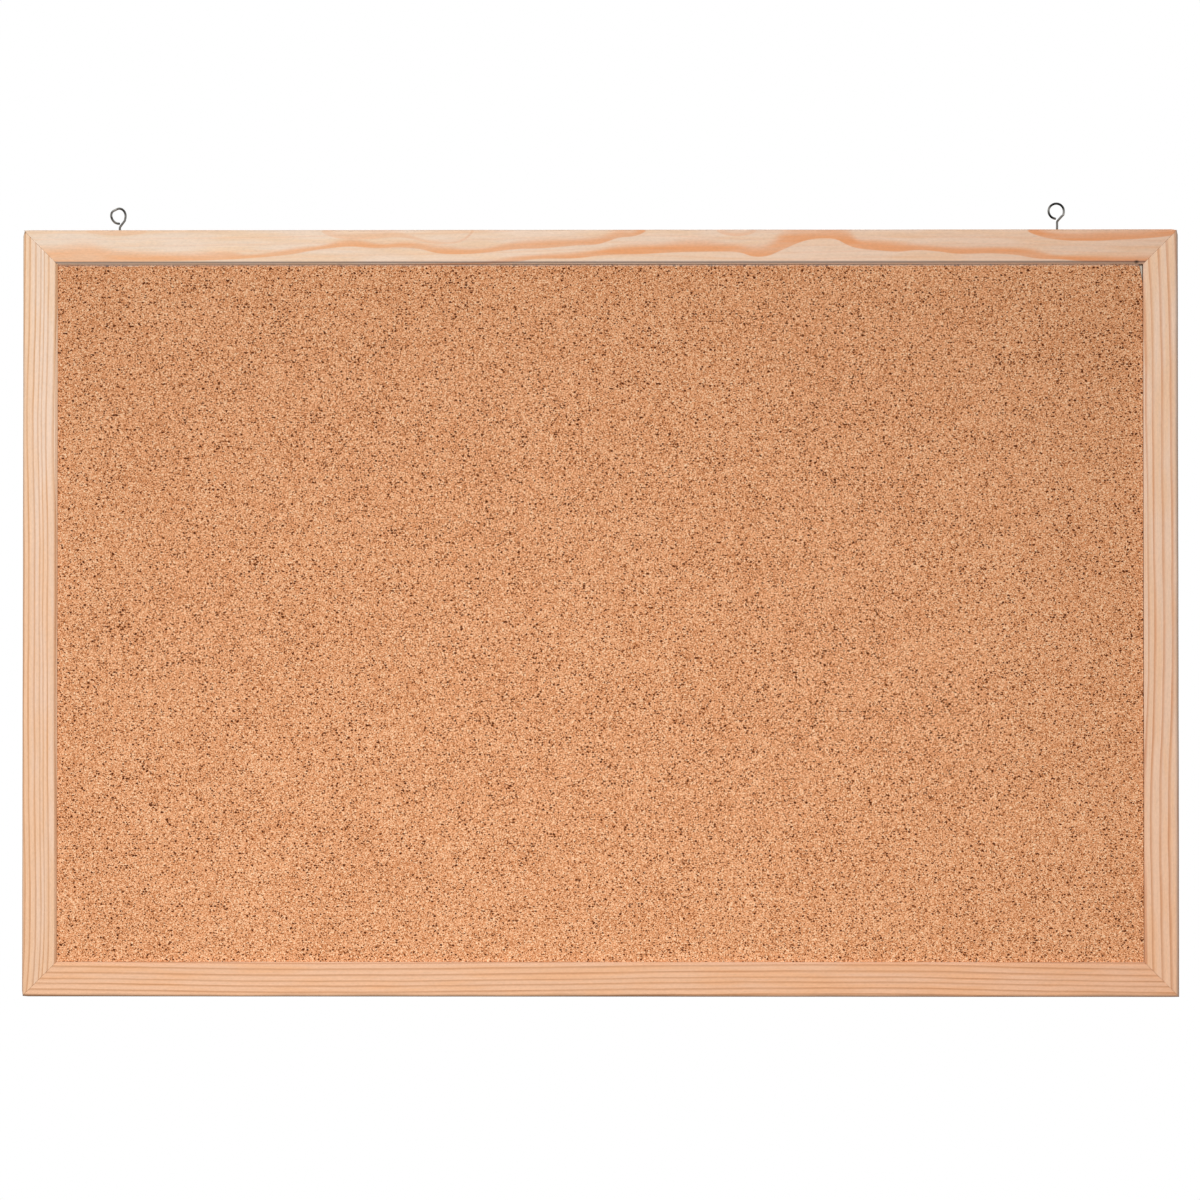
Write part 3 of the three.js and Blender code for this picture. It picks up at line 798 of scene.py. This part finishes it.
def pineMaterial(side):
    # Scots pine, planed and sanded, left without varnish: growth rings of pale early and orange late
    # wood, a fine fibre along the rail and short brown resin ducts. Dull, with the fibre just raised.
    grain = grains[side["node"]]
    half = side["length"] / 2 / mm
    material, add, place = newMaterial("pine, planed and sanded, " + side["node"].replace("_", " "))
    outerEdge = turnedOut(np.zeros(3), side) / mm
    turned = {"Vector": place, "Location": outerEdge.tolist(), "Rotation": (0, side["turn"] * pi / 2, 0)}
    local = add("Mapping", turned, vector_type="TEXTURE")
    split = add("SeparateXYZ", [local])
    along = split.outputs["X"]
    across = add("Math", [split.outputs["Z"], -1], "MULTIPLY")
    depth = add("Math", [split.outputs["Y"], board["front"] / mm], "SUBTRACT")

    patterns = {name: addPattern(add, local, *values) for name, values in pinePatterns.items()}
    cells = add("Mapping", {"Vector": local, "Scale": resinDuct})
    duct = add("TexVoronoi", {"Vector": cells, "Scale": 1})

    # The rings, counted across the rail, and how far each place is from its own ring's end
    level = add("Math", [depth, grain["slope"], across], "MULTIPLY_ADD")
    level = add("Math", [patterns["wander"], grain["wander"] * 2, level], "MULTIPLY_ADD")
    level = add("Math", [level, grain["wander"]], "SUBTRACT")
    drift = add("FloatCurve", {"Value": along}, points=grain["drift"])
    ringLevel = add("Math", [level, drift], "SUBTRACT")
    ringEnds = [(end, count) for count, end in enumerate(grain["ends"])]
    ring = add("FloatCurve", {"Value": ringLevel}, points=ringEnds)
    toEnd = add("Math", [1, add("Math", [ring], "FRACT")], "SUBTRACT")
    late = grain["late"]
    fade = late * (1 - grain["softness"])
    lateWood = add("MapRange", [toEnd, fade, late, 1, 0], interpolation_type="SMOOTHERSTEP")
    lateWood = add("Math", [lateWood, grain["ringStrength"]], "MULTIPLY")

    # The broad bands, full at the low edge and faded out beyond the high one
    for band in grain["bands"]:
        low = add("FloatCurve", {"Value": along}, points=band["low"])
        high = add("FloatCurve", {"Value": along}, points=band["high"])
        inside = add("Math", [low, level], "SUBTRACT")
        width = add("Math", [low, high], "SUBTRACT")
        share = add("Math", [inside, width], "DIVIDE")
        sharp = add("MapRange", [inside, -bandEdge, bandEdge, 0, band["strength"]])
        faded = add("MapRange", [share, *bandFade, 1, 0], interpolation_type="SMOOTHSTEP")
        shade = add("Math", [sharp, faded], "MULTIPLY")
        lateWood = add("Math", [lateWood, shade], "MAXIMUM")

    alongShare = add("MapRange", [along, -half, half, 0, 1])
    pale = add("ValToRGB", [alongShare], stops=list(zip((0, 0.5, 1), grain["pale"])))
    dark = add("ValToRGB", [alongShare], stops=list(zip((0, 0.5, 1), grain["dark"])))
    strength = add("MapRange", [patterns["streak"], 0.3, 0.7, 0.65, 1])
    lateShare = add("Math", [lateWood, strength], "MULTIPLY")
    colour = add("Mix", {0: lateShare, 6: pale, 7: dark}, data_type="RGBA")

    # How much each pattern lightens or darkens the wood, and where it is warmer
    tones = [
        (patterns["fibre"], 0.25, 0.75, 0.95, 1.05),
        (patterns["streak"], 0.25, 0.75, 0.975, 1.025),
        (patterns["mottle"], 0.25, 0.75, 0.94, 1.06),
        (duct.outputs["Distance"], 0.1, 0.22, 0.93, 1),
    ]
    tone = 1
    for part in tones:
        tone = add("Math", [add("MapRange", part), tone], "MULTIPLY")
    colour = add("VectorMath", {0: colour, "Scale": tone}, "SCALE")
    warmer = add("VectorMath", [colour, warmTint], "MULTIPLY")
    warmth = add("MapRange", [patterns["warmPatch"], 0.4, 0.65, 0, 0.8])
    warm = add("FloatCurve", {"Value": across}, points=grain["warm"])
    warmth = add("Math", [warmth, warm], "MAXIMUM")
    colour = add("Mix", {0: warmth, 6: colour, 7: warmer}, data_type="RGBA")

    # Painted shade, greyer along the arrises and inner bevels, and the dark spots
    paintedShade = add("FloatCurve", {"Value": across}, points=grain["paintedShade"])
    spotShare = 0
    for spot in spots:
        spotX, spotZ = spot["place"]
        centre = (spotX, board["front"] / mm, board["middle"].z / mm + spotZ)
        far = add("VectorMath", [place, centre], "DISTANCE").outputs["Value"]
        core = spot["radius"] * spotCore
        spotShade = add("MapRange", [far, core, spot["radius"], spot["share"], 0])
        spotShare = add("Math", [spotShade, spotShare], "MAXIMUM")
    # painted shade: grey mixed in along the arrises and bevels
    colour = add("Mix", {0: paintedShade, 6: colour, 7: toLinear(paintedShadeColour)}, data_type="RGBA")
    colour = add("Mix", {0: spotShare, 6: colour, 7: toLinear(spotColour)}, data_type="RGBA")

    relief = add("Math", [lateWood, 0.5, patterns["fibre"]], "MULTIPLY_ADD")
    rough = add("MapRange", [lateWood, 0, 1, 0.68, 0.55])
    addSurface(add, colour, rough, relief, strength=0.5, depth=0.05 * mm)
    return material


def addRails():
    for seed, side in enumerate(sides):
        surface = turnedOut(railSurface(side, seed), side)
        mesh = newMesh(side["piece"], surface.reshape(-1, 3), tubeFaces(*surface.shape[:2]))
        mesh = cutAway(mesh, slotsIn(side["node"]))
        mesh.name = side["piece"]
        piece = addPiece(side["piece"], mesh, pineMaterial(side), side["node"], sharpAngle=30)
        piece.modifiers.new("even shading", "WEIGHTED_NORMAL").keep_sharp = True


addRails()
print("pine rails")


# Cork sheet

cork = {
    "spacing": 1.65 * mm,
    "trimWidth": 1.9 * mm,  # cut off the top right corner
    "trimHeight": 10 * mm,
    "relief": 0.12 * mm,
    "seed": 7,
    # At the left, right, bottom and top: how far loose granules stand out of the cut edge, how far it
    # crumbles away, and how far the face is pressed back along it
    "loose": (0.12 * mm, 0.12 * mm, 0.14 * mm, 0.22 * mm),
    "crumble": (0.04 * mm, 0.06 * mm, 0.02 * mm, 0.06 * mm),
    "fall": (0.04 * mm, 0.12 * mm, 0.02 * mm, 0.02 * mm),
}

# The cork's patterns in millimetres, with detail and roughness. Each kind of speck has its spacing, its
# share of the cells, its size, a shift that makes its pattern another, and how much it lightens.
corkPatterns = {
    "stir": (1, 2, 0.6),
    "stirred": (1.2, 0, 1.2),  # how far the grains are pushed about
    "stretch": (0.75, 1, 1),  # makes them wider than high
    "mix": (9, 2, 0.6),
    "broad": (25, 3, 0.7),
    "grit": (0.5, 2, 0.8),
    "crumb": 0.5,
    # painted light: a paler grey under the cork's top edge, depths from nothing to full
    "paintedLightDepth": (0.9, 0.2),  # under the top edge, from nothing to full
    "specks": [(0.9, 0.8, 0.42, 0, -0.8), (1.25, 0.5, 0.56, 40, -1.15), (0.95, 0.9, 0.42, 80, 0.5)],
}


def corkSurface():
    # The face over (u, v) from 0 to 1: x = left + u (right(z) - left), z = bottom + v (top - bottom), where
    # the right side leans in by trimWidth over the last trimHeight. The edges are the CAD sheet's, out by
    # what is loose and in by what crumbles times random squares. The face lies behind the front by a relief
    # of smoothed random numbers and the largest fall e^(-2 t / spacing) at the distances t from the edges.
    low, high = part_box("cork_sheet")
    left, right, bottom, top = cork["loose"]
    low.x -= left
    high.x += right
    low.z -= bottom
    high.z += top
    columns = round((high.x - low.x) / cork["spacing"]) + 1
    rows = round((high.z - low.z) / cork["spacing"]) + 1
    draw = np.random.default_rng(cork["seed"])
    u = np.linspace(0, 1, columns)[None, :]
    v = np.linspace(0, 1, rows)[:, None]
    z = low.z + v * (high.z - low.z)
    lean = np.clip(1 - (high.z - z) / cork["trimHeight"], 0, 1) * cork["trimWidth"]
    x = low.x + u * (high.x - lean - low.x)
    z = z + 0 * u
    crumbs = draw.random((4, max(rows, columns))) ** 2 * np.array(cork["crumble"])[:, None]
    x[:, 0] += crumbs[0, :rows]
    x[:, -1] -= crumbs[1, :rows]
    z[0] += crumbs[2, :columns]
    z[-1] -= crumbs[3, :columns]
    bumps = draw.random((rows, columns))
    bumps = (bumps + np.roll(bumps, 1, 0) + np.roll(bumps, 1, 1) + np.roll(bumps, (1, 1), (0, 1))) / 4
    toEdges = np.clip([x - low.x, high.x - lean - x, z - low.z, high.z - z], 0, None)
    falls = np.array(cork["fall"])[:, None, None] * np.exp(-2 * toEdges / cork["spacing"])
    y = low.y + cork["relief"] * bumps + np.max(falls, axis=0)
    return np.stack([x, y, z], axis=-1), high.y


def corkMaterial():
    # Fine agglomerated cork, sanded: ground bark pressed with a binder. Fine grains in many browns, dark
    # specks of outer bark and pale chips, thicker in some places than in others. Matt all over.
    material, add, place = newMaterial("cork, ground, pressed and sanded")
    given = corkPatterns
    stir, mix, broad = (addPattern(add, place, *given[name]) for name in ("stir", "mix", "broad"))
    stir = add("VectorMath", [stir.outputs["Color"], (0.5, 0.5, 0.5)], "SUBTRACT")
    stirred = add("VectorMath", [stir, given["stirred"], place], "MULTIPLY_ADD")
    flat = add("VectorMath", [stirred, given["stretch"]], "MULTIPLY")
    crumb = add("TexVoronoi", {"Vector": flat, "Scale": 1 / given["crumb"]})
    crumbTone = add("SeparateColor", [crumb.outputs["Color"]]).outputs[1]
    grit = addPattern(add, flat, *given["grit"])
    tone = add("MapRange", [grit, 0, 1, -1.05, 2.05], clamp=False)
    parts = [(crumbTone, 0.5), (broad, 0.18)]
    for spacing, share, width, shift, strength in given["specks"]:
        moved = add("VectorMath", [flat, (shift, 0, shift)], "ADD")
        speck = add("TexVoronoi", {"Vector": moved, "Scale": 1 / spacing})
        pick = add("SeparateColor", [speck.outputs["Color"]]).outputs[2]
        chosen = add("Math", [mix, 0.25, pick], "MULTIPLY_ADD")
        reach = add("MapRange", [chosen, 1.12 - share, 1.12, 0, width / spacing])
        depth = add("Math", [reach, speck.outputs["Distance"]], "SUBTRACT")
        parts.append((add("MapRange", [depth, 0, 0.1 / spacing, 0, 1]), strength))
    for part, share in parts:
        tone = add("Math", [part, share, tone], "MULTIPLY_ADD")
    tone = add("Math", [tone, 0.86, -0.12], "MULTIPLY_ADD")
    colour = add("ValToRGB", [tone], stops=[
        (0, "#582606"), (0.16, "#904e22"), (0.32, "#b87242"), (0.48, "#d38c5b"), (0.64, "#eca473"),
        (0.8, "#ffbe8e"), (1, "#ffd9b1"),
    ])

    # Painted light: a paler grey along the top edge under the top rail, where the rail's shade falls, in
    # patches
    height = add("SeparateXYZ", [place]).outputs["Z"]
    start, full = (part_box("cork_sheet")[1].z / mm - depth for depth in given["paintedLightDepth"])
    paintedLight = add("MapRange", [height, start, full, 0, 0.6])
    patches = add("MapRange", [mix, 0.35, 0.65, 0.4, 1])
    paintedLight = add("Math", [paintedLight, patches], "MULTIPLY")
    colour = add("Mix", {0: paintedLight, 6: colour, 7: toLinear("#c6b8ae")}, data_type="RGBA")
    addSurface(add, colour, 0.92, tone, strength=0.6, depth=0.25 * mm)
    return material


def addCork():
    face, back = corkSurface()
    rows, columns = face.shape[:2]
    ring = edgeRing(rows, columns)
    behind = rows * columns + np.arange(len(ring))
    faces = gridFaces(rows, columns) + wallFaces(ring, behind) + [behind[::-1].tolist()]
    places = face.reshape(-1, 3)
    backEdge = places[ring].copy()
    backEdge[:, 1] = back
    mesh = newMesh("corkFace", np.concatenate([places, backEdge]), faces)
    addPiece("corkFace", mesh, corkMaterial(), "cork_sheet", sharpAngle=60)


addCork()
print("cork sheet")


# Kraft liner on the back

liner = {
    "spacing": 4 * mm,
    "billow": 0.45 * mm,  # how far the paper stands off the core between the rails
    "billowEdge": 22 * mm,  # it lies flat at its edges, under the points
    "acrossWaves": (0.21, 0.093, 0.048),  # lengths in metres
    "upWaves": (0.17, 0.081),
    "seeds": (3, 4),
    # Patterns with their size in millimetres, detail, roughness and distortion
    "web": ((40, 1, 1.6), 3, 0.6),
    "fibres": (1.1, 4, 0.7, 1.5),
    "cloud": (7, 3, 0.6),
    "fleck": 3.5,
}


def linerSurface(depth):
    # The paper lies at the depth y + billow w b, where w is a mean of uneven waves across and up, from 0
    # to 1, and b rises from 0 at the edges as 1 - e^(-(t / edge)^2)
    low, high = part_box("kraft_back_liner")
    columns = round((high.x - low.x) / liner["spacing"]) + 1
    rows = round((high.z - low.z) / liner["spacing"]) + 1
    x, z = np.meshgrid(np.linspace(low.x, high.x, columns), np.linspace(low.z, high.z, rows))
    first, second = liner["seeds"]
    wave = waves(x + 0.3 * z, liner["acrossWaves"], first) + waves(z - 0.2 * x, liner["upWaves"], second)
    toEdge = np.minimum(np.minimum(x - low.x, high.x - x), np.minimum(z - low.z, high.z - z))
    rise = 1 - np.exp(-((toEdge / liner["billowEdge"]) ** 2))
    y = depth + liner["billow"] * rise * (wave + 2) / 4
    return np.stack([x, y, z], axis=-1)


def kraftMaterial():
    # Brown kraft paper, unbleached and machine finished: faint streaks along the web, long pulp fibres
    # and darker flecks. Matt, with a little sheen at a low angle.
    material, add, place = newMaterial("kraft paper, unbleached")
    web, fibres, cloud = (addPattern(add, place, *liner[name]) for name in ("web", "fibres", "cloud"))
    fleck = add("TexVoronoi", {"Vector": place, "Scale": 1 / liner["fleck"]})
    flecks = add("MapRange", [fleck.outputs["Distance"], 0.05, 0.12, 0.75, 1])
    tone = add("Math", [web, 0.5, fibres], "MULTIPLY_ADD")
    tone = add("Math", [cloud, 0.5, tone], "MULTIPLY_ADD")
    colour = add("ValToRGB", [add("MapRange", [tone, 0.6, 1.4, 0, 1])], stops=[
        (0, "#936f4a"), (0.5, "#aa8660"), (1, "#bf9e78"),
    ])
    colour = add("VectorMath", {0: colour, "Scale": flecks}, "SCALE")
    addSurface(add, colour, 0.78, fibres, strength=0.4, depth=0.06 * mm)
    return material


def addLiner():
    low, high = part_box("kraft_back_liner")
    places = np.stack([linerSurface(low.y), linerSurface(high.y)])
    rows, columns = places.shape[1:3]
    ring = edgeRing(rows, columns)
    faces = gridFaces(rows, columns)
    backFaces = (np.array(faces)[:, ::-1] + rows * columns).tolist()
    faces += backFaces + wallFaces(ring, ring + rows * columns)
    mesh = newMesh("kraftLiner", places.reshape(-1, 3), faces)
    addPiece("kraftLiner", mesh, kraftMaterial(), "kraft_back_liner", sharpAngle=60)


addLiner()
print("kraft liner")


# Softboard core and the small steel parts, kept from the frame with their edges eased

# Patterns as above. The strips' lines lie along X on the points and along Y on the nails.
softboard = {
    "clumps": (1.8, 4, 0.7, 0.8),
    "hairs": ((2.2, 0.3, 0.3), 3, 0.6),
    "shadow": (0.7, 0.35),  # before the right stile, from nothing to full
    "easedEdge": 0.3 * mm,
}
pointStrip = {
    "name": "steel strip, cold rolled", "dark": "#6d6c69", "light": "#a3a29f",
    "lines": ((6, 0.15, 0.15), 3, 0.6), "patches": (2.5, 3, 0.6), "easedEdge": 0.08 * mm,
}
nailStrip = {
    "name": "steel strip, sheared", "dark": "#62615f", "light": "#92918e",
    "lines": ((0.15, 5, 0.15), 3, 0.6), "patches": (2.5, 3, 0.6), "easedEdge": 0.06 * mm,
}
weldDistance = 0.001 * mm


def softboardMaterial():
    # Softboard: pale grey wood fibre felted from wet pulp and pressed. Fibrous clumps, matt.
    material, add, place = newMaterial("softboard, felted wood fibre")
    clumps, hairs = (addPattern(add, place, *softboard[name]) for name in ("clumps", "hairs"))
    tone = add("Math", [clumps, hairs], "ADD")
    colour = add("ValToRGB", [add("MapRange", [tone, 0.7, 1.3, 0, 1])], stops=[
        (0, "#c8c4b7"), (0.5, "#dedacd"), (1, "#eeeadd"),
    ])

    # The shadow line where it runs in under the right stile
    right = add("SeparateXYZ", [place]).outputs["X"]
    start, full = (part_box("right_stile")[0].x / mm - before for before in softboard["shadow"])
    shadow = add("MapRange", [right, start, full, 0, 0.9])
    colour = add("Mix", {0: shadow, 6: colour, 7: toLinear("#2c2013")}, data_type="RGBA")
    addSurface(add, colour, 0.95, tone, strength=0.7, depth=0.2 * mm)
    return material


def stripMaterial(strip):
    # Blank steel strip, cold rolled and sheared: grey, with fine lines the way it was rolled and a film
    # of dull oxide in patches
    material, add, place = newMaterial(strip["name"])
    lines, patches = (addPattern(add, place, *strip[name]) for name in ("lines", "patches"))
    stops = [(0.35, strip["dark"]), (0.65, strip["light"])]
    addMetal(add, lines, patches, stops, (0.9, 1.1), (0.32, 0.48))
    return material


def easeEdges(node, material, radius):
    # The CAD node as it is, with a new material and its edges rounded
    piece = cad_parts[node]
    piece.data.materials.clear()
    piece.data.materials.append(material)
    piece.modifiers.new("joined", "WELD").merge_threshold = weldDistance
    bevel = piece.modifiers.new("eased", "BEVEL")
    bevel.width = radius
    bevel.segments = 3
    bevel.limit_method = "ANGLE"
    bevel.harden_normals = True


def dressFrame():
    dressed = [
        ("softboard", softboardMaterial(), softboard["easedEdge"]),
        ("_point_", stripMaterial(pointStrip), pointStrip["easedEdge"]),
        ("_nail_", stripMaterial(nailStrip), nailStrip["easedEdge"]),
    ]
    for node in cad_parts:
        for part, material, radius in dressed:
            if part in node:
                easeEdges(node, material, radius)


dressFrame()
print("softboard core, points and nails")
